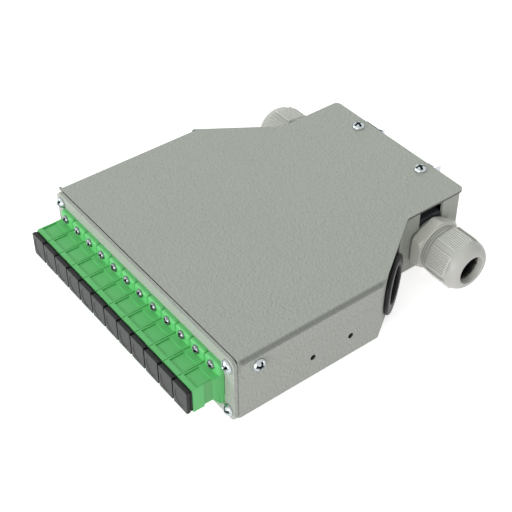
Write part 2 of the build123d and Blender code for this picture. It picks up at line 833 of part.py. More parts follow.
box_screw = screw(screw_shank, screw_length, screw_head, screw_head_height)
save("panel_screws", Compound([Pos(x, front_y, z) * Rot(90, 0, 0) * box_screw
                               for x, z in panel_screw_spots]))
save("cover_top_screws", Compound([Pos(side * top_screw_spacing / 2, top_screw_y, box_height) * box_screw
                                   for side in (-1, 1)]))
save("cover_side_screws", Compound([Pos(side * half_cover, side_screw_y, side_screw_z)
                                    * Rot(0, side * 90, 0) * box_screw for side in (-1, 1)]))

for side, word in ((-1, "left"), (1, "right")):
    neck = on_neck(side)
    save(f"gland_body_{word}", neck * gland_body())
    save(f"gland_nut_{word}", neck * gland_nut())
    save(f"gland_seal_{word}", neck * gland_seal())
    save(f"gland_washer_{word}", neck * gland_washer())
    save(f"gland_locknut_{word}", neck * gland_locknut())
    save(f"grommet_{word}", on_slant(side) * grommet())

save("clip_base", clip_base())
save("clip_latch", clip_latch())
save("latch_spring", latch_spring())
clip_screw = screw(screw_shank, screw_length + 2, screw_head, screw_head_height)
save("clip_screws", Compound([Pos(clip_screw_x, seat_y, z) * Rot(-90, 0, 0) * clip_screw
                              for z in clip_screw_heights]))

save("splice_tray", splice_tray())
save("splice_holder", splice_holder())
save("tray_lid", tray_lid())
tray_screw = screw(screw_shank, tray_screw_length, screw_head - 0.6, screw_head_height)
tray_screw_z = tray_base + tray_floor
save("tray_screws", Compound([Pos(side * standoff_spacing / 2, tray_middle, tray_screw_z) * tray_screw
                              for side in (-1, 1)]))
post = prism(standoff_across, standoff_height) - rod(screw_hole / 2, standoff_height)
save("tray_standoffs", Compound([Pos(side * standoff_spacing / 2, tray_middle, sheet) * post
                                 for side in (-1, 1)]))
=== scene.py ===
import json
import math
import bmesh
import bpy
from mathutils import Matrix, Vector


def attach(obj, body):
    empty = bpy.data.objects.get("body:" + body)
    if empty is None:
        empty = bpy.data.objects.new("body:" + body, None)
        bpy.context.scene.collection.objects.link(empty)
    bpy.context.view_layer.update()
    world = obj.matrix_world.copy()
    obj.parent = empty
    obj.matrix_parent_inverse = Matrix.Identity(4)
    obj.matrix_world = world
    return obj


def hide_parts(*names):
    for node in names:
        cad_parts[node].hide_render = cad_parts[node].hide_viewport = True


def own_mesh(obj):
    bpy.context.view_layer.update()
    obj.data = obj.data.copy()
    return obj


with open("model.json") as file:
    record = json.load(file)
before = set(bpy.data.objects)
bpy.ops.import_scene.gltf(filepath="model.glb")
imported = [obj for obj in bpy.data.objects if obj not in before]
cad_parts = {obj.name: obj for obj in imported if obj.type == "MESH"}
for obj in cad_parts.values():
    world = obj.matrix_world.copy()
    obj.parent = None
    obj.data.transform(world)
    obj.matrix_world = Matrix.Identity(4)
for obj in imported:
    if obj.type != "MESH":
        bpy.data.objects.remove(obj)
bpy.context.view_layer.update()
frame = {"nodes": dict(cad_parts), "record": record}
nodes = frame["nodes"]
bodyOf = {name: body for body, names in frame["record"]["behaviour"]["bodies"].items() for name in names}
slotOf = {part["node"]: part["material_slot"] for part in frame["record"]["subparts"]}
mm = 0.001
print("frame loaded,", len(nodes), "nodes")


class Wire:  # a socket that takes part in sums
    def __init__(self, graph, socket):
        self.graph = graph
        self.socket = socket

    def sum(self, operation, first, second):
        return self.graph.add("ShaderNodeMath", {"operation": operation}, {0: first, 1: second})

    def __add__(self, other):
        return self.sum("ADD", self, other)

    def __radd__(self, other):
        return self.sum("ADD", other, self)

    def __sub__(self, other):
        return self.sum("SUBTRACT", self, other)

    def __mul__(self, other):
        return self.sum("MULTIPLY", self, other)

    def __rmul__(self, other):
        return self.sum("MULTIPLY", other, self)

    def __lt__(self, other):
        return self.sum("LESS_THAN", self, other)

    def __gt__(self, other):
        return self.sum("GREATER_THAN", self, other)


class Graph:  # one node tree, for a finish or for geometry
    def __init__(self, tree):
        self.tree = tree

    def add(self, kind, settings=None, sockets=None, out=0):
        node = self.tree.nodes.new(kind)
        for key, value in (settings or {}).items():
            setattr(node, key, value)
        for key, value in (sockets or {}).items():
            if isinstance(value, Wire):
                self.tree.links.new(value.socket, node.inputs[key])
            else:
                node.inputs[key].default_value = value
        return Wire(self, node.outputs[out]) if node.outputs else node


def colour(red, green, blue):  # 0 to 255 as seen on a screen, to the linear value
    def linear(value):
        value = value / 255
        return value / 12.92 if value <= 0.04045 else ((value + 0.055) / 1.055) ** 2.4
    return (linear(red), linear(green), linear(blue), 1.0)


def newFinish(name):
    material = bpy.data.materials.new(name)
    material.use_nodes = True
    material.node_tree.nodes.clear()
    return material, Graph(material.node_tree)


def closeFinish(graph, shader):
    graph.add("ShaderNodeOutputMaterial", {}, {"Surface": shader})


def objectPlace(graph):  # a point in the object's own coordinates
    return graph.add("ShaderNodeTexCoord", {}, {}, 3)


def axisOf(graph, place, index):
    return graph.add("ShaderNodeSeparateXYZ", {}, {"Vector": place}, index)


def sizeOf(graph, value):
    return graph.add("ShaderNodeMath", {"operation": "ABSOLUTE"}, {0: value})


def ramp(graph, value, ends):  # 0 at the first end and 1 at the second
    return graph.add("ShaderNodeMapRange", {"interpolation_type": "SMOOTHSTEP"},
                     {"Value": value, "From Min": ends[0], "From Max": ends[1]})


def around(middle, spread, factor):
    return middle - spread / 2 + factor * spread


def noise(graph, scale, detail=2.0, rough=0.5, stretch=(1, 1, 1)):
    place = graph.add("ShaderNodeMapping", {}, {"Vector": objectPlace(graph), "Scale": stretch})
    return graph.add("ShaderNodeTexNoise", {}, {"Vector": place, "Scale": scale, "Detail": detail,
                                               "Roughness": rough})


def blendColour(graph, factor, first, second):
    return graph.add("ShaderNodeMix", {"data_type": "RGBA", "clamp_factor": True},
                     {0: factor, 6: first, 7: second}, 2)


def bumped(graph, height, strength, distance):
    return graph.add("ShaderNodeBump", {}, {"Height": height, "Strength": strength, "Distance": distance})


paint = {
    "tone": colour(178, 184, 174),
    "deep": colour(168, 174, 165),
    "grainSize": 850.0, "grainRough": 0.6,  # pebbles of the powder coat, per metre
    "grainHeight": 0.0006, "grainBump": 1.0,
    "broadSize": 22.0, "broadShare": 0.5,  # soft patches over whole plates
    "roughness": 0.5, "spread": 0.12, "specular": 0.42,
    "bendShade": 0.6,  # painted shade on the rounded top edges of the lid, as a share of the deep tone
    "bendWide": (0.0634, 0.0646), "bendTall": (0.0300, 0.0309),  # where a bend starts and ends, in metres
    "edge": colour(84, 88, 84),  # the lid's cut edge, in the shade of its rim
    "edgeTall": (0.0323, 0.0320), "edgeWide": 0.0632,
    "inner": colour(62, 66, 66),  # painted shade on faces inside the closed housing
}


def lidShades(graph, tone):  # painted shade on the bends and cut edges
    wide = sizeOf(graph, axisOf(graph, objectPlace(graph), 0))
    tall = axisOf(graph, objectPlace(graph), 2)
    bend = ramp(graph, wide, paint["bendWide"]) * ramp(graph, tall, paint["bendTall"])
    dark = tuple(part * paint["bendShade"] for part in paint["deep"][:3]) + (1.0,)
    tone = blendColour(graph, bend, tone, dark)
    edge = ramp(graph, tall, paint["edgeTall"]) * (wide < paint["edgeWide"])
    return blendColour(graph, edge, tone, paint["edge"])


def powderCoat(name, bends=False):
    material, graph = newFinish(name)
    pebble = noise(graph, paint["grainSize"], 2.0, paint["grainRough"])
    broad = noise(graph, paint["broadSize"], 3.0, 0.5)
    share = paint["broadShare"]
    tone = blendColour(graph, broad * share + pebble * (1 - share), paint["deep"], paint["tone"])
    # the lid gets painted shade on its bends and cut edges
    if bends:
        tone = lidShades(graph, tone)
    # painted shade on the faces inside the housing and in the side holes
    inside = graph.add("ShaderNodeAttribute", {"attribute_name": "inside"}, {}, 2)
    tone = blendColour(graph, inside, tone, paint["inner"])
    shader = graph.add("ShaderNodeBsdfPrincipled", {}, {
        "Base Color": tone, "Roughness": around(paint["roughness"], paint["spread"], pebble),
        "Specular IOR Level": paint["specular"],
        "Normal": bumped(graph, pebble, paint["grainBump"], paint["grainHeight"])})
    closeFinish(graph, shader)
    return material


plasticLook = {
    "broadSize": 60.0, "broadShare": 0.8,  # soft patches, and their share beside the fine grain
    "spread": 0.1, "bump": 0.25, "bumpDeep": 0.00002,
}


def mottled(graph, grain, deep, tone):
    fine = noise(graph, grain)
    broad = noise(graph, plasticLook["broadSize"])
    share = plasticLook["broadShare"]
    return fine, blendColour(graph, broad * share + fine * (1 - share), deep, tone)


def plasticShader(graph, fine, tone, roughness, specular):
    shader = graph.add("ShaderNodeBsdfPrincipled", {}, {
        "Base Color": tone, "Roughness": around(roughness, plasticLook["spread"], fine),
        "Specular IOR Level": specular,
        "Normal": bumped(graph, fine, plasticLook["bump"], plasticLook["bumpDeep"])})
    closeFinish(graph, shader)


def moulded(name, tone, deep, roughness, grain=900.0, specular=0.5):
    material, graph = newFinish(name)
    fine, mixed = mottled(graph, grain, deep, tone)
    plasticShader(graph, fine, mixed, roughness, specular)
    return material


metalLook = {"detail": 3.0, "grainRough": 0.6, "spread": 0.16, "bump": 0.2, "bumpDeep": 0.00001}


def plated(name, tone, deep, roughness, stretch=(1, 1, 1), scale=700.0, recess=None):
    material, graph = newFinish(name)
    fine = noise(graph, scale, metalLook["detail"], metalLook["grainRough"], stretch)
    mixed = blendColour(graph, fine, deep, tone)
    if recess:  # painted shade in the cross of a screw's head
        hollow = graph.add("ShaderNodeAttribute", {"attribute_name": "recess"}, {}, 2)
        mixed = blendColour(graph, hollow, mixed, recess)
    shader = graph.add("ShaderNodeBsdfPrincipled", {}, {
        "Base Color": mixed, "Metallic": 1.0,
        "Roughness": around(roughness, metalLook["spread"], fine),
        "Normal": bumped(graph, fine, metalLook["bump"], metalLook["bumpDeep"])})
    closeFinish(graph, shader)
    return material


capLook = {
    # the front face is painted lighter as painted sheen, the sides and top near black as painted shade, on
    # one dark plastic
    "face": colour(60, 60, 61), "faceDeep": colour(54, 54, 56),
    "side": colour(15, 18, 18),
    "faceStart": -0.08627,  # the lip's front skin lies in front of this, in metres
    "grain": 1300.0, "grainRough": 0.6, "bump": 0.3, "bumpDeep": 0.00002,
    "roughness": 0.48, "spread": 0.12, "specular": 0.3,
}


def capPlastic():
    look = capLook
    material, graph = newFinish("capPlastic")
    front = axisOf(graph, objectPlace(graph), 1) < look["faceStart"]
    fine = noise(graph, look["grain"], 2.0, look["grainRough"])
    face = blendColour(graph, fine, look["faceDeep"], look["face"])
    # painted sheen on the front face, painted shade on the sides and top
    tone = blendColour(graph, front, look["side"], face)
    shader = graph.add("ShaderNodeBsdfPrincipled", {}, {
        "Base Color": tone, "Roughness": around(look["roughness"], look["spread"], fine),
        "Specular IOR Level": look["specular"],
        "Normal": bumped(graph, fine, look["bump"], look["bumpDeep"])})
    closeFinish(graph, shader)
    return material


adapterLook = {
    "tone": colour(112, 204, 126), "deep": colour(96, 198, 110), "roughness": 0.44, "specular": 0.35,
    "grain": 1100.0,
    "pitch": 0.00965, "end": 0.0574,  # adapters stand side by side between these places, in metres
    # painted shade in the gaps between neighbouring adapters
    "seam": colour(62, 156, 76), "seamWide": 0.00021,
    # painted shade along the edges of the label recesses
    "frame": 0.00083, "line": 0.00013, "lineShadeTone": colour(74, 176, 88),
    "labelFront": -0.0816, "labelBack": -0.0749, "labelHigh": 0.0213,
    # painted shade on a band of the outer adapters' sides
    "waist": (-0.0788, -0.0749), "waistShadeTone": colour(98, 180, 108), "side": 0.0572,
}


def nearTo(graph, value, place, reach):
    return sizeOf(graph, value - place) < reach


def adapterPlastic():
    look = adapterLook
    material, graph = newFinish("greenPlastic")
    fine, tone = mottled(graph, look["grain"], look["deep"], look["tone"])
    place = objectPlace(graph)
    x, y, z = (axisOf(graph, place, index) for index in range(3))
    share = x * (1 / look["pitch"])
    whole = graph.add("ShaderNodeMath", {"operation": "ROUND"}, {0: share})
    off = sizeOf(graph, share - whole) * look["pitch"]  # from the nearest seam between two adapters
    wide = sizeOf(graph, x)
    # painted shade on a band of the outermost sides
    waist = (y > look["waist"][0]) * (y < look["waist"][1]) * (wide > look["side"])
    tone = blendColour(graph, waist, tone, look["waistShadeTone"])
    # painted shade along the label recess edges
    high = z > look["labelHigh"]
    label = high * (y > look["labelFront"]) * (y < look["labelBack"])
    sides = nearTo(graph, off, look["frame"], look["line"]) * label
    ends = nearTo(graph, y, look["labelFront"], look["line"]) * (off > look["frame"]) * high
    tone = blendColour(graph, sides + ends, tone, look["lineShadeTone"])
    # painted shade in the seams between adapters
    seam = (off < look["seamWide"]) * (wide < look["end"])
    tone = blendColour(graph, seam, tone, look["seam"])
    plasticShader(graph, fine, tone, look["roughness"], look["specular"])
    return material


clearLook = {"tone": colour(225, 230, 232), "grain": 300.0, "roughness": 0.12, "spread": 0.08,
             "alpha": 0.35, "refraction": 1.49}


def clearPlastic():
    material, graph = newFinish("clearPlastic")
    fine = noise(graph, clearLook["grain"])
    shader = graph.add("ShaderNodeBsdfPrincipled", {}, {
        "Base Color": clearLook["tone"], "Alpha": clearLook["alpha"], "IOR": clearLook["refraction"],
        "Roughness": around(clearLook["roughness"], clearLook["spread"], fine)})
    closeFinish(graph, shader)
    return material


finishes = {
    "plate_steel": powderCoat("powderCoat"),
    "green_plastic": adapterPlastic(),
    "dark_cap": capPlastic(),
    "grey_nylon": moulded("greyNylon", colour(201, 203, 196), colour(194, 196, 189), 0.42, 1500.0),
    "black_rubber": moulded("blackRubber", colour(15, 16, 18), colour(10, 11, 12), 0.42, 1800.0, 0.3),
    # its recess colour is painted shade in the screws' cross
    "zinc_steel": plated("zincSteel", colour(206, 212, 214), colour(176, 184, 188), 0.3,
                         recess=colour(34, 40, 46)),
    "clip_steel": plated("clipSteel", colour(222, 222, 228), colour(196, 198, 206), 0.34, (1, 14, 1), 260.0),
    "ceramic": moulded("ceramic", colour(236, 236, 228), colour(228, 228, 220), 0.2),
    "tray_plastic": moulded("trayPlastic", colour(52, 54, 58), colour(42, 44, 48), 0.5),
    "clear_plastic": clearPlastic(),
}
for name, node in nodes.items():
    node.data.materials.clear()
    node.data.materials.append(finishes[slotOf[name]])
finishes["cover"] = powderCoat("lidCoat", True)
# its recess colour is painted shade in the screws' cross
finishes["adapter_screws"] = plated("smallZinc", colour(150, 156, 158), colour(124, 130, 134), 0.3,
                                    recess=colour(26, 30, 32))
# the nut's ribs are the same nylon painted lighter, as painted highlight
finishes["nut_ribs"] = moulded("litRibNylon", colour(222, 224, 217), colour(214, 216, 209), 0.42, 1500.0)
washerGrey = moulded("washerGrey", colour(156, 158, 152), colour(146, 148, 143), 0.5)
shadedNylon = moulded("shadedNylon", colour(66, 70, 72), colour(56, 60, 62), 0.5)
# the gland bodies are the nut's nylon painted lighter, as painted light
litBodyNylon = moulded("litBodyNylon", colour(224, 226, 216), colour(216, 218, 208), 0.42, 1500.0)
for word in ("left", "right"):
    finishes[f"gland_washer_{word}"] = washerGrey
    finishes[f"gland_locknut_{word}"] = shadedNylon
    finishes[f"gland_body_{word}"] = litBodyNylon
print("finishes made")


def finishPiece(piece, body, slot, *replaced):
    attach(piece, body)
    if replaced:
        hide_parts(*replaced)
    return piece


def addObject(name, mesh, finish):
    piece = bpy.data.objects.new(name, mesh)
    bpy.context.scene.collection.objects.link(piece)
    mesh.materials.clear()
    mesh.materials.append(finish)
    return piece


def meshFrom(name, shape, smoothAngle=40):
    bmesh.ops.recalc_face_normals(shape, faces=shape.faces)
    mesh = bpy.data.meshes.new(name)
    shape.to_mesh(mesh)
    shape.free()
    mesh.polygons.foreach_set("use_smooth", [True] * len(mesh.polygons))
    mesh.set_sharp_from_angle(angle=math.radians(smoothAngle))
    return mesh


trayLook = {
    "seamHeight": 1.4, "seamsWide": (39.7, 62.4), "seamsDeep": (1.9, 38.9, 68.1),  # where its pieces meet
    "notch": (13.0, 30.8), "notchTall": (14.0, 40.0),  # slot over each wall ring, along the slanted wall
    "notchDeep": (-3.0, 1.5),
    "corner": (63.9, 3.4), "along": (-0.55527, 0.83167), "taperLong": 34.0,
    "innerWide": (62.75, 40.05), "innerDeep": (-66.9, 68.35), "innerTall": (1.15, 31.36),
    "holesWide": 62.6, "holesDeep": (-60.0, 0.0), "holesTall": (5.0, 20.0),  # around the side holes
}
weld = 2e-6  # corners nearer than this are one, in metres


def liesIn(face, axis, place):
    flat = abs(face.normal[axis]) > 0.99
    return flat and all(abs(abs(v.co[axis]) - place * mm) < 1e-5 for v in face.verts)


def closeSeams(shape):  # drops the faces where the tray's pieces meet, so that its skin is one
    t = trayLook
    places = [(2, t["seamHeight"])] + [(0, x) for x in t["seamsWide"]] + [(1, y) for y in t["seamsDeep"]]
    shape.normal_update()
    hidden = [f for f in shape.faces if any(liesIn(f, axis, place) for axis, place in places)]
    bmesh.ops.delete(shape, geom=hidden, context="FACES")
    bmesh.ops.remove_doubles(shape, verts=shape.verts, dist=weld)
    loose = [e for e in shape.edges if len(e.link_faces) == 1]
    spots = [Vector(spot) for spot in {tuple(v.co) for e in loose for v in e.verts}]
    for edge in loose:  # an edge that runs past the next piece's corner gets a corner there too
        start, end = edge.verts
        origin, way = start.co.copy(), end.co - start.co
        shares = sorted((spot - origin).dot(way) / way.length_squared for spot in spots)
        shares = [share for share in shares if 1e-4 < share < 1 - 1e-4
                  and any((origin + way * share - spot).length < weld for spot in spots)]
        done = 0.0
        for share in shares:
            point = bmesh.utils.edge_split(edge, start, (share - done) / (1 - done))[1]
            edge = next(e for e in point.link_edges if e.other_vert(point) == end)
            start, done = point, share


def cutNotches(shape):  # the slot that lets each wall ring in from above
    t = trayLook
    mesh = bpy.data.meshes.new("trayPlain")
    shape.to_mesh(mesh)
    piece = bpy.data.objects.new("trayPlain", mesh)
    bpy.context.scene.collection.objects.link(piece)
    knives = []
    for side in (-1, 1):
        along = Vector((side * t["along"][0], t["along"][1], 0))
        out = Vector((side * t["along"][1], -t["along"][0], 0))
        start = Vector((side * t["corner"][0], t["corner"][1], 0))
        corners = [start + along * u + out * w + Vector((0, 0, z)) for z in t["notchTall"]
                   for u in t["notch"] for w in t["notchDeep"]]
        cutter = bmesh.new()
        points = [cutter.verts.new(c * mm) for c in corners]
        for ring in ((0, 1, 3, 2), (4, 5, 7, 6), (0, 1, 5, 4), (1, 3, 7, 5), (3, 2, 6, 7), (2, 0, 4, 6)):
            cutter.faces.new([points[i] for i in ring])
        knife = bpy.data.objects.new("knife", meshFrom("knife", cutter))
        bpy.context.scene.collection.objects.link(knife)
        cut = piece.modifiers.new("cut", "BOOLEAN")
        cut.operation = "DIFFERENCE"
        cut.object = knife
        knives.append(knife)
    made = bpy.data.meshes.new_from_object(piece.evaluated_get(bpy.context.evaluated_depsgraph_get()))
    for knife in knives + [piece]:
        bpy.data.objects.remove(knife)
    shape.clear()
    shape.from_mesh(made)


def markShadedInside(mesh):  # marks for painted shade the faces inside the closed housing, and the walls of the side holes
    t = trayLook
    values = []
    for face in mesh.polygons:
        x, y, z = abs(face.center.x / mm), face.center.y / mm, face.center.z / mm
        slope = min(1, max(0, (y - t["corner"][1]) / t["taperLong"]))
        wide = t["innerWide"][0] + (t["innerWide"][1] - t["innerWide"][0]) * slope
        within = t["innerDeep"][0] < y < t["innerDeep"][1] and t["innerTall"][0] < z < t["innerTall"][1]
        near = t["holesDeep"][0] < y < t["holesDeep"][1] and t["holesTall"][0] < z < t["holesTall"][1]
        hole = x > t["holesWide"] and near and abs(face.normal.x) < 0.8
        values.append(1.0 if within and x < wide or hole else 0.0)
    inside = mesh.attributes.new("inside", "FLOAT", "FACE")
    inside.data.foreach_set("value", values)


bevelLook = {"rows": 2, "hard": 32, "flat": 0.6, "smooth": 50, "weight": 80}  # angles in degrees


def softened(nodeName, newName, edge):  # a copy of a node with its hard edges rounded
    shape = bmesh.new()
    shape.from_mesh(nodes[nodeName].data)
    if nodeName == "body_tray":
        closeSeams(shape)
    bmesh.ops.remove_doubles(shape, verts=shape.verts, dist=weld)
    if nodeName == "body_tray":
        cutNotches(shape)
    bmesh.ops.dissolve_limit(shape, angle_limit=math.radians(bevelLook["flat"]), verts=shape.verts,
                             edges=shape.edges)
    least = math.radians(bevelLook["hard"])
    hard = [e for e in shape.edges if len(e.link_faces) == 2 and e.calc_face_angle(0) > least]
    bmesh.ops.bevel(shape, geom=hard, offset=edge * mm, offset_type="OFFSET", segments=bevelLook["rows"],
                    profile=0.5, affect="EDGES", clamp_overlap=True, loop_slide=True)
    mesh = meshFrom(newName, shape, bevelLook["smooth"])
    piece = addObject(newName, mesh, finishes.get(nodeName, finishes[slotOf[nodeName]]))
    even = piece.modifiers.new("even", "WEIGHTED_NORMAL")  # keeps flat faces flat up to their edges
    even.keep_sharp = True
    even.weight = bevelLook["weight"]
    view = bpy.context.evaluated_depsgraph_get()
    piece.data = bpy.data.meshes.new_from_object(piece.evaluated_get(view))
    piece.modifiers.clear()
    if slotOf[nodeName] == "plate_steel":
        markShadedInside(piece.data)
    return finishPiece(piece, bodyOf[nodeName], slotOf[nodeName], nodeName)


edges = {
    "front_panel": ("frontPlate", 0.3), "cover": ("lidPlate", 0.28), "body_tray": ("foldedTray", 0.25),
    "clip_base": ("railChannel", 0.25), "clip_latch": ("railLatch", 0.2),
    "gland_body_left": ("glandBodyLeft", 0.25), "gland_body_right": ("glandBodyRight", 0.25),
    "gland_locknut_left": ("lockNutLeft", 0.3), "gland_locknut_right": ("lockNutRight", 0.3),
    "gland_washer_left": ("flatSealLeft", 0.15), "gland_washer_right": ("flatSealRight", 0.15),
    "splice_tray": ("spliceTray", 0.2), "splice_holder": ("spliceComb", 0.12),
}
for number in range(1, 13):
    edges[f"adapter_{number:02d}"] = (f"adapter{number:02d}", 0.16)
    edges[f"dust_cap_{number:02d}"] = (f"dustCap{number:02d}", 0.18)
for nodeName, (newName, edge) in edges.items():
    softened(nodeName, newName, edge)
print("edges softened on", len(edges), "pieces")


standSeed = 7  # gives the screws the same turns on every run


def standTree(name, template, finish):  # stands copies of one small shape on points, facing outwards
    tree = bpy.data.node_groups.new(name, "GeometryNodeTree")
    tree.interface.new_socket(name="Geometry", in_out="INPUT", socket_type="NodeSocketGeometry")
    size = tree.interface.new_socket(name="Size", in_out="INPUT", socket_type="NodeSocketFloat")
    spin = tree.interface.new_socket(name="Spin", in_out="INPUT", socket_type="NodeSocketFloat")
    tree.interface.new_socket(name="Geometry", in_out="OUTPUT", socket_type="NodeSocketGeometry")
    graph = Graph(tree)
    entry = tree.nodes.new("NodeGroupInput")
    points, scale, spread = (Wire(graph, entry.outputs[index]) for index in range(3))
    facing = graph.add("GeometryNodeInputNamedAttribute", {"data_type": "FLOAT_VECTOR"}, {"Name": "facing"})
    along = graph.add("GeometryNodeInputNamedAttribute", {"data_type": "FLOAT_VECTOR"}, {"Name": "along"})
    turn = graph.add("FunctionNodeAlignRotationToVector", {"axis": "Z"}, {"Vector": facing})
    turn = graph.add("FunctionNodeAlignRotationToVector", {"axis": "X", "pivot_axis": "Z"},
                     {"Rotation": turn, "Vector": along})
    angle = graph.add("FunctionNodeRandomValue", {"data_type": "FLOAT"}, {"Seed": standSeed}, 1)
    own = graph.add("FunctionNodeAxisAngleToRotation", {}, {"Axis": (0, 0, 1), "Angle": angle * spread})
    turn = graph.add("FunctionNodeRotateRotation", {"rotation_space": "LOCAL"},
                     {"Rotation": turn, "Rotate By": own})
    shape = graph.add("GeometryNodeObjectInfo", {}, {"Object": template, "As Instance": True}, 4)
    placed = graph.add("GeometryNodeInstanceOnPoints", {}, {
        "Points": points, "Instance": shape, "Rotation": turn, "Scale": scale})
    real = graph.add("GeometryNodeRealizeInstances", {}, {"Geometry": placed})
    done = graph.add("GeometryNodeSetMaterial", {}, {"Geometry": real, "Material": finish})
    graph.add("NodeGroupOutput", {}, {"Geometry": done})
    return tree, size.identifier, spin.identifier


def standOnPoints(name, template, spots, finish, spin=0.0, smoothAngle=40):
    mesh = bpy.data.meshes.new(name + "Points")
    mesh.from_pydata([place for place, out, way in spots], [], [])
    facing = mesh.attributes.new("facing", "FLOAT_VECTOR", "POINT")
    along = mesh.attributes.new("along", "FLOAT_VECTOR", "POINT")
    for index, (place, out, way) in enumerate(spots):
        facing.data[index].vector = out
        along.data[index].vector = way
    holder = bpy.data.objects.new(name + "Points", mesh)
    bpy.context.scene.collection.objects.link(holder)
    tree, sizeSocket, spinSocket = standTree(name + "Tree", template, finish)
    modifier = holder.modifiers.new("stand", "NODES")
    modifier.node_group = tree
    modifier[sizeSocket] = 1.0
    modifier[spinSocket] = spin
    view = bpy.context.evaluated_depsgraph_get()
    made = bpy.data.meshes.new_from_object(holder.evaluated_get(view))
    made.name = name
    bpy.data.objects.remove(holder)
    for attribute in [a.name for a in made.attributes if a.name in ("facing", "along")]:
        made.attributes.remove(made.attributes[attribute])
    made.polygons.foreach_set("use_smooth", [True] * len(made.polygons))
    made.set_sharp_from_angle(angle=math.radians(smoothAngle))
    return addObject(name, made, finish)


def asTemplate(name, shape, smoothAngle):
    return bpy.data.objects.new(name, meshFrom(name, shape, smoothAngle))


def joinRows(shape, pairs):  # faces between neighbouring rings of corners
    for first, second in pairs:
        for step in range(len(first)):
            after = (step + 1) % len(first)
            shape.faces.new((first[step], second[step], second[after], first[after]))


screwLook = {
    "sides": 48,
    "rings": (0.04, 0.09, 0.14, 0.19, 0.24, 0.29, 0.33, 0.37, 0.44, 0.5, 0.56, 0.62, 0.68, 0.8, 0.9, 0.97,
              1.0),
    "crownStart": 0.35, "crownSpan": 0.4225, "crownFall": 0.62,  # shares of the head's radius and height
    "rimStart": 0.85, "rimSpan": 0.15, "rimFall": 0.16,
    "middle": 0.22, "crossDeep": 0.75, "crossSlope": 0.55,
    "rimHigh": 0.12, "seatIn": 0.96, "tipIn": 0.8, "tipLong": 0.3,
    "smooth": 35, "spin": 6.283,  # each screw stops at a turn of its own
}
smallHead = {"head": 3.9, "height": 1.3, "shank": 2.0, "length": 7.0, "crossWide": 0.12, "crossLong": 0.4}
boxHead = {"head": 5.6, "height": 1.9, "shank": 3.0, "length": 6.0, "crossWide": 0.095, "crossLong": 0.36}


def headTop(share, high):  # how high the uncut head is, at a share of its radius
    look = screwLook
    top = high * (1 - look["crownFall"] * max(0, share - look["crownStart"]) ** 2 / look["crownSpan"])
    if share > look["rimStart"]:
        top -= high * look["rimFall"] * ((share - look["rimStart"]) / look["rimSpan"]) ** 2
    return top


def panHead(name, size):  # a pan head with a cross recess, its seat at zero
    look = screwLook
    radius = size["head"] / 2 * mm
    high = size["height"] * mm
    armWide, armLong = size["crossWide"] * 2, size["crossLong"] * 2
    shape = bmesh.new()
    angles = [2 * math.pi * step / look["sides"] for step in range(look["sides"])]
    ways = [(math.cos(angle), math.sin(angle)) for angle in angles]
    # marks the cross for painted shade
    recess = shape.verts.layers.float.new("recess")
    rows = []
    for share in look["rings"]:
        row = []
        for x, y in ways:
            arm = min(abs(share * x), abs(share * y)) < armWide and share < armLong
            cut = arm or share < look["middle"]
            z = headTop(share, high)
            if cut:
                z -= high * look["crossDeep"] * (1 - look["crossSlope"] * share / armLong)
            row.append(shape.verts.new((share * x * radius, share * y * radius, z)))
            row[-1][recess] = 1.0 if cut else 0.0
        rows.append(row)
    stem, deep = size["shank"] / size["head"], size["length"] * mm
    for share, z in ((1.0, high * look["rimHigh"]), (look["seatIn"], 0.0), (stem, 0.0),
                     (stem, look["tipLong"] * mm - deep), (stem * look["tipIn"], -deep)):
        rows.append([shape.verts.new((share * radius * x, share * radius * y, z)) for x, y in ways])
    joinRows(shape, zip(rows, rows[1:]))
    shape.faces.new(rows[0])
    shape.faces.new(rows[-1])
    return asTemplate(name, shape, look["smooth"])


place = {"frontY": -69.5, "rowHeight": 16.25, "glandY": 52.1, "glandZ": 13.2, "neckX": 41.2}
upWay = (0, 0, 1)
frontWay = (0, -1, 0)
screwPlaces = {
    "adapters": 12, "adapterPitch": 9.65, "flange": 2.4, "flangeReach": 8.6,
    "panelX": (-60.2, 60.2), "panelZ": (4.3, 28.2),
    "lidX": (-20.5, 20.5), "lidY": 64.5, "lidZ": 32.5,
    "flap": (65.2, -59.0, 26.5),
}


def setScrews(newName, template, spots, finish, nodeName):
    spots = [(tuple(part * mm for part in spot), out, way) for spot, out, way in spots]
    screws = standOnPoints(newName, template, spots, finish, screwLook["spin"], screwLook["smooth"])
    finishPiece(screws, bodyOf[nodeName], "zinc_steel", nodeName)


look = screwPlaces
adapterXs = [(index - (look["adapters"] - 1) / 2) * look["adapterPitch"] for index in range(look["adapters"])]
smallScrew = panHead("smallScrew", smallHead)
flangeY = place["frontY"] - look["flange"]
spots = [((x, flangeY, place["rowHeight"] + side * look["flangeReach"]), frontWay, upWay)
         for x in adapterXs for side in (-1, 1)]
setScrews("adapterScrews", smallScrew, spots, finishes["adapter_screws"], "adapter_screws")

boxScrew = panHead("boxScrew", boxHead)
flapX, flapY, flapZ = look["flap"]
sets = {
    "panel_screws": ("plateScrews", [((x, place["frontY"], z), frontWay, upWay)
                                     for x in look["panelX"] for z in look["panelZ"]]),
    "cover_top_screws": ("lidScrews", [((x, look["lidY"], look["lidZ"]), upWay, (1, 0, 0))
                                       for x in look["lidX"]]),
    "cover_side_screws": ("flapScrews", [((side * flapX, flapY, flapZ), (side, 0, 0), upWay)
                                         for side in (-1, 1)]),
}
for nodeName, (newName, spots) in sets.items():
    setScrews(newName, boxScrew, spots, finishes["zinc_steel"], nodeName)
print("screws set")


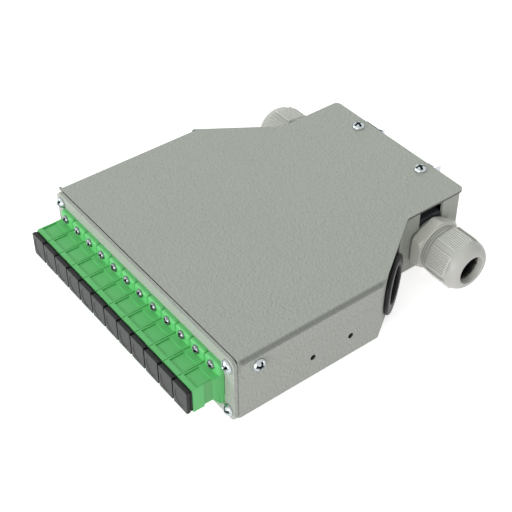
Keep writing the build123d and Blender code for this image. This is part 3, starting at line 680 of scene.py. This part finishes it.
def lathe(profile, sides, frameOf, radiusOf=None):  # turns pairs of radius and height round an axis
    shape = bmesh.new()
    rows = []
    for radius, height in profile:
        row = []
        for step in range(sides):
            angle = 2 * math.pi * step / sides
            reach = radiusOf(radius, height, angle) if radiusOf else radius
            row.append(shape.verts.new(frameOf(reach * math.cos(angle), reach * math.sin(angle), height)))
        rows.append(row)
    joinRows(shape, zip(rows, rows[1:] + rows[:1]))
    return shape


def glandFrame(side):  # local X up, Z out of the neck's wall
    def placeOf(x, y, z):
        spot = (side * (place["neckX"] + z), place["glandY"] - side * y, place["glandZ"] + x)
        return tuple(part * mm for part in spot)
    return placeOf


nutLook = {
    "base": 7.1, "straight": 12.0, "length": 19.2, "radius": 11.7, "flat": 11.1, "turn": 38.0, "sides": 180,
    "foot": ((9.65, 0.3), (10.05, 0.0), (10.45, 0.0), (11.2, 0.25), (11.25, 0.8), (10.45, 1.05), (10.45, 1.4),
             (11.35, 1.65), (11.4, 2.25), (10.45, 2.5), (10.45, 2.85), (11.7, 3.1)),  # radius and height
    "bandStart": 3.05, "bandStep": 0.9, "bands": 9,
    "end": 7.9, "endRound": 0.45, "crownDrop": 0.2, "crownTurn": 84.0, "crownSteps": 26,
    "mouth": ((7.6, 19.12), (7.15, 19.2), (7.0, 19.2), (6.65, 19.05), (6.5, 18.7), (6.5, 16.0), (8.3, 15.8),
              (8.3, 16.3), (9.65, 11.5)),
    "roundIn": 8.7, "roundLow": 2.9, "boreIn": 9.7, "boreHigh": 16.7,  # rings that the six flats don't cut
    "ribs": 10, "ribPitch": 0.98, "ribStart": 3.4, "ribEnd": 14.4, "ribHeight": 0.42, "ribWide": 0.74,
    "ribSunk": 0.1, "ribTop": 0.5, "ribSlope": 2,
}


def nutProfile():
    n = nutLook
    base = n["base"]
    points = [(radius, base + height) for radius, height in n["foot"]]
    bands = [n["bandStart"] + step * n["bandStep"] for step in range(1, n["bands"] + 1)]
    points += [(n["radius"], base + height) for height in bands]
    tall = n["length"] - n["straight"] - n["crownDrop"]
    inner = n["end"] - n["endRound"]
    for step in range(n["crownSteps"] + 1):
        angle = math.radians(n["crownTurn"] * step / n["crownSteps"])
        points.append((inner + (n["radius"] - inner) * math.cos(angle),
                       base + n["straight"] + tall * math.sin(angle)))
    return points + [(radius, base + height) for radius, height in n["mouth"]]


def nutRadius(radius, height, angle):
    n = nutLook
    if radius < n["roundIn"] or height < n["base"] + n["roundLow"]:
        return radius
    if radius <= n["boreIn"] and height < n["base"] + n["boreHigh"]:
        return radius
    local = (math.degrees(angle) - n["turn"]) % 60 - 30
    return min(radius, n["flat"] / math.cos(math.radians(local)))


def ribTemplate():
    n = nutLook
    long = (n["ribEnd"] - n["ribStart"]) / 2 * mm
    wide = n["ribWide"] / 2 * mm
    high = n["ribHeight"] * mm
    sunk = -n["ribSunk"] * mm
    top = wide * n["ribTop"]
    start, end = -long + high, long - high * n["ribSlope"]
    shape = bmesh.new()
    foot = ((-long, -wide), (long, -wide), (long, wide), (-long, wide))
    head = ((start, -top), (end, -top), (end, top), (start, top))
    low = [shape.verts.new((x, y, sunk)) for x, y in foot]
    up = [shape.verts.new((x, y, high)) for x, y in head]
    for step in range(4):
        after = (step + 1) % 4
        shape.faces.new((low[step], low[after], up[after], up[step]))
    shape.faces.new(up)
    shape.faces.new(low)
    return asTemplate("ribBar", shape, 20)


sealLook = {
    "profile": ((5.6, 13.65), (6.65, 13.85), (6.65, 22.35), (6.35, 22.6), (5.7, 22.7), (5.7, 23.4),
                (5.5, 23.6), (5.2, 23.55), (4.8, 22.8), (4.8, 15.15)),  # radius and height
    "sides": 72, "pips": 12, "pipRadius": 0.42, "pipFirst": 0.5, "pipReach": 5.25, "pipHigh": 23.48,
}
ribBar = ribTemplate()
pipShape = bmesh.new()
bmesh.ops.create_icosphere(pipShape, subdivisions=1, radius=sealLook["pipRadius"] * mm)
pip = asTemplate("pipBall", pipShape, 60)
finishes["amber"] = moulded("amberPips", colour(112, 82, 54), colour(96, 70, 46), 0.5)


def ribSpots(side, toWorld):  # one row of ribs on each of the nut's six flats
    n = nutLook
    spots = []
    middle = n["base"] + (n["ribStart"] + n["ribEnd"]) / 2
    for flat in range(6):
        angle = math.radians(n["turn"] + 30 + 60 * flat)
        out = Vector((math.cos(angle), math.sin(angle), 0))
        across = Vector((-math.sin(angle), math.cos(angle), 0))
        for rib in range(n["ribs"]):
            point = out * n["flat"] + across * ((rib - (n["ribs"] - 1) / 2) * n["ribPitch"])
            facing = Vector((0, -side * out.y, out.x))
            spots.append((toWorld(point.x, point.y, middle), facing, (side, 0, 0)))
    return spots


def pipSpots(side, toWorld):  # round the seal's mouth
    spots = []
    for index in range(sealLook["pips"]):
        angle = 2 * math.pi * (index + sealLook["pipFirst"]) / sealLook["pips"]
        x, y = sealLook["pipReach"] * math.cos(angle), sealLook["pipReach"] * math.sin(angle)
        spots.append((toWorld(x, y, sealLook["pipHigh"]), (side, 0, 0), upWay))
    return spots


for side, word, big in ((-1, "left", "Left"), (1, "right", "Right")):
    toWorld = glandFrame(side)
    nutBody = bodyOf[f"gland_nut_{word}"]
    shape = lathe(nutProfile(), nutLook["sides"], toWorld, nutRadius)
    dome = addObject("domeNut" + big, meshFrom("domeNut" + big, shape, 30), finishes["grey_nylon"])
    finishPiece(dome, nutBody, "grey_nylon", f"gland_nut_{word}")
    ribs = standOnPoints("nutRibs" + big, ribBar, ribSpots(side, toWorld), finishes["nut_ribs"], 0.0, 20)
    finishPiece(ribs, nutBody, "grey_nylon")
    shape = lathe(sealLook["profile"], sealLook["sides"], toWorld)
    ring = addObject("cableSeal" + big, meshFrom("cableSeal" + big, shape), finishes["black_rubber"])
    finishPiece(ring, "housing", "black_rubber", f"gland_seal_{word}")
    pips = standOnPoints("sealPips" + big, pip, pipSpots(side, toWorld), finishes["amber"], 0.0, 60)
    finishPiece(pips, "housing", "black_rubber")
print("glands dressed")


grommetLook = {
    "along": 19.0, "height": 14.0,  # its middle, from the slanted wall's front corner and over the floor
    "bore": 8.4, "outer": 13.2, "lip": 2.0, "low": -2.85, "waist": 11.0, "sides": 96,
    "innerRound": 1.0, "outerRound": 1.1, "backRound": 0.8, "boreBack": -1.0,
    "skirt": 0.1, "wallFront": 0.06, "wallBack": -1.26, "backIn": 0.9,
}


def slantFrame(side):  # local X back along the slanted wall, Z out of it
    cornerX, cornerY = trayLook["corner"]
    runX, runY = place["neckX"] - cornerX, trayLook["taperLong"]
    length = math.hypot(runX, runY)
    dirX, dirY = runX / length, runY / length
    centre = Vector((side * (cornerX + dirX * grommetLook["along"]), cornerY + dirY * grommetLook["along"],
                     grommetLook["height"]))
    along = Vector((side * dirX, dirY, 0))
    out = Vector((side * dirY, -dirX, 0))
    up = out.cross(along)
    def placeOf(x, y, z):
        return (centre + along * x + up * y + out * z) * mm
    return placeOf


def arc(centreR, centreZ, radius, start, end, steps):
    angles = [math.radians(start + (end - start) * i / steps) for i in range(steps + 1)]
    return [(centreR + radius * math.cos(angle), centreZ + radius * math.sin(angle)) for angle in angles]


def ringProfile():
    g = grommetLook
    inner, outer, back = g["innerRound"], g["outerRound"], g["backRound"]
    points = [(g["bore"], g["boreBack"])] + arc(g["bore"] + inner, g["lip"] - inner, inner, 180, 90, 6)
    points += arc(g["outer"] - outer, g["lip"] - outer, outer, 90, 0, 6)
    points += [(g["outer"] - g["skirt"], g["skirt"])]
    points += [(g["waist"], g["wallFront"]), (g["waist"], g["wallBack"])]
    points += [(g["outer"] - g["backIn"], g["wallBack"])]
    points += arc(g["outer"] - 2 * back, g["low"] + back, back, 0, -90, 4)
    return points + arc(g["bore"] + back, g["low"] + back, back, -90, -180, 4)


for side, word, big in ((-1, "left", "Left"), (1, "right", "Right")):
    shape = lathe(ringProfile(), grommetLook["sides"], slantFrame(side))
    ring = addObject("wallRing" + big, meshFrom("wallRing" + big, shape), finishes["black_rubber"])
    finishPiece(ring, "housing", "black_rubber", f"grommet_{word}")
print("wall rings dressed")


coilLook = {
    "turns": 7.0, "radius": 1.15, "wire": 0.25, "long": 10.75, "steps": 20, "sides": 8,
    "startX": 0.85, "y": 71.375, "z": 16.55,
    "seat": 12.1, "keep": 0.64,  # the latch shortens it against its seat
}


def coilTree(finish):  # a wire swept along a spiral
    tree = bpy.data.node_groups.new("coilTree", "GeometryNodeTree")
    sockets = [tree.interface.new_socket(name=label, in_out="INPUT", socket_type="NodeSocketFloat")
               for label in ("Turns", "Radius", "Wire", "Long")]
    tree.interface.new_socket(name="Geometry", in_out="OUTPUT", socket_type="NodeSocketGeometry")
    graph = Graph(tree)
    entry = tree.nodes.new("NodeGroupInput")
    turns, radius, wire, long = (Wire(graph, entry.outputs[index]) for index in range(4))
    spiral = graph.add("GeometryNodeCurveSpiral", {}, {
        "Resolution": coilLook["steps"], "Rotations": turns, "Start Radius": radius, "End Radius": radius,
        "Height": long})
    section = graph.add("GeometryNodeCurvePrimitiveCircle", {}, {
        "Resolution": coilLook["sides"], "Radius": wire})
    swept = graph.add("GeometryNodeCurveToMesh", {}, {
        "Curve": spiral, "Profile Curve": section, "Fill Caps": True})
    real = graph.add("GeometryNodeRealizeInstances", {}, {"Geometry": swept})
    done = graph.add("GeometryNodeSetMaterial", {}, {"Geometry": real, "Material": finish})
    graph.add("NodeGroupOutput", {}, {"Geometry": done})
    return tree, [socket.identifier for socket in sockets]


holder = bpy.data.objects.new("coilHolder", bpy.data.meshes.new("coilHolder"))
bpy.context.scene.collection.objects.link(holder)
tree, sockets = coilTree(finishes["clip_steel"])
modifier = holder.modifiers.new("coil", "NODES")
modifier.node_group = tree
values = [coilLook["turns"]] + [coilLook[key] * mm for key in ("radius", "wire", "long")]
for socket, value in zip(sockets, values):
    modifier[socket] = value
coilMesh = bpy.data.meshes.new_from_object(holder.evaluated_get(bpy.context.evaluated_depsgraph_get()))
bpy.data.objects.remove(holder)
start = Vector((coilLook["startX"], coilLook["y"], coilLook["z"])) * mm
coilMesh.transform(Matrix.Translation(start) @ Matrix.Rotation(math.radians(90), 4, "Y"))
coilMesh.polygons.foreach_set("use_smooth", [True] * len(coilMesh.polygons))
coil = addObject("latchCoil", coilMesh, finishes["clip_steel"])
finishPiece(coil, "housing", "clip_steel", "latch_spring")
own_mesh(coil)
print("latch coil wound")


floorLook = {
    "seen": (0.93, 0.93, 0.93, 1.0),
    "bounce": (0.46, 0.44, 0.46, 1.0),  # what the floor throws back on the object
    "lift": (1.0, 0.92, 0.98, 1.0), "liftStrength": 0.42,
    "glow": 0.62,
    "size": 6.0, "drop": 0.0002,
}


def floorFinish():
    material, graph = newFinish("paleFloor")
    camera = graph.add("ShaderNodeLightPath", {}, {}, 0)
    mirror = graph.add("ShaderNodeLightPath", {}, {}, 3)
    seen = graph.add("ShaderNodeMath", {"operation": "MAXIMUM"}, {0: camera, 1: mirror})
    bright = graph.add("ShaderNodeBsdfDiffuse", {}, {"Color": floorLook["seen"]})
    dull = graph.add("ShaderNodeBsdfDiffuse", {}, {"Color": floorLook["bounce"]})
    lift = graph.add("ShaderNodeEmission", {}, {
        "Color": floorLook["lift"], "Strength": floorLook["liftStrength"]})
    dull = graph.add("ShaderNodeAddShader", {}, {0: dull, 1: lift})
    glow = graph.add("ShaderNodeEmission", {}, {"Color": (1, 1, 1, 1), "Strength": floorLook["glow"]})
    both = graph.add("ShaderNodeAddShader", {}, {0: bright, 1: glow})
    shader = graph.add("ShaderNodeMixShader", {}, {0: seen, 1: dull, 2: both})
    closeFinish(graph, shader)
    return material


half = floorLook["size"] / 2
floorMesh = bpy.data.meshes.new("floor")
floorCorners = [(-half, -half, 0), (half, -half, 0), (half, half, 0), (-half, half, 0)]
floorMesh.from_pydata(floorCorners, [], [(0, 1, 2, 3)])
floorMesh.transform(Matrix.Translation((0, 0, -floorLook["drop"])))
floor = addObject("floor", floorMesh, floorFinish())

skyLook = {"light": 0.53}  # what the surroundings throw on the object; the camera sees them white
world = bpy.data.worlds.new("studio")
bpy.context.scene.world = world
world.use_nodes = True
world.node_tree.nodes.clear()
sky = Graph(world.node_tree)
seen = sky.add("ShaderNodeLightPath", {}, {}, 0)
shine = sky.add("ShaderNodeLightPath", {}, {}, 3)
white = sky.add("ShaderNodeMath", {"operation": "MAXIMUM"}, {0: seen, 1: shine})
strength = skyLook["light"] + (1 - skyLook["light"]) * white
background = sky.add("ShaderNodeBackground", {}, {"Color": (1, 1, 1, 1), "Strength": strength})
sky.add("ShaderNodeOutputWorld", {}, {"Surface": background})

lamps = {
    "keyLamp": {"spot": (0.55, -1.25, 0.3), "size": 0.6, "power": 8.2, "tint": (1.0, 0.99, 1.0)},
    "leftLamp": {"spot": (-0.8, -1.05, 0.45), "size": 0.8, "power": 6.4, "tint": (0.95, 1.0, 0.97)},
    "backLamp": {"spot": (-0.75, 0.75, 0.75), "size": 0.8, "power": 2.6, "tint": (0.96, 1.0, 0.98)},
}
for name, look in lamps.items():
    data = bpy.data.lights.new(name, "AREA")
    data.shape = "SQUARE"
    data.size = look["size"]
    data.energy = look["power"]
    data.color = look["tint"]
    lamp = bpy.data.objects.new(name, data)
    lamp.location = look["spot"]
    lamp.rotation_euler = (-Vector(look["spot"])).to_track_quat("-Z", "Y").to_euler()
    bpy.context.scene.collection.objects.link(lamp)

cameraLook = {
    "azimuth": 52.829, "elevation": 41.592, "roll": -0.297,
    "right": -46.846, "down": 29.820, "ahead": 467.784,  # the housing's front foot as the lens sees it, in mm
    "lens": 79.243, "near": 0.01,
}
azimuth, elevation, roll = (math.radians(cameraLook[key]) for key in ("azimuth", "elevation", "roll"))
back = Vector((math.sin(azimuth) * math.cos(elevation), -math.cos(azimuth) * math.cos(elevation),
               math.sin(elevation)))
level = (-back).cross(Vector((0, 0, 1))).normalized()
upright = level.cross(-back)
rightward = level * math.cos(roll) + upright * math.sin(roll)
upward = upright * math.cos(roll) - level * math.sin(roll)
spot = -(rightward * cameraLook["right"] - upward * cameraLook["down"] - back * cameraLook["ahead"])
spot += Vector((0, place["frontY"], 0))
cameraData = bpy.data.cameras.new("camera")
cameraData.lens = cameraLook["lens"]
cameraData.clip_start = cameraLook["near"]
camera = bpy.data.objects.new("camera", cameraData)
turn = Matrix((rightward, upward, back)).transposed().to_4x4()
camera.matrix_world = Matrix.Translation(spot * mm) @ turn
bpy.context.scene.collection.objects.link(camera)
bpy.context.scene.camera = camera
bpy.context.scene.view_settings.view_transform = "Standard"
print("stage, lamps and camera set")

for template in (smallScrew, boxScrew, ribBar, pip):
    bpy.data.objects.remove(template)
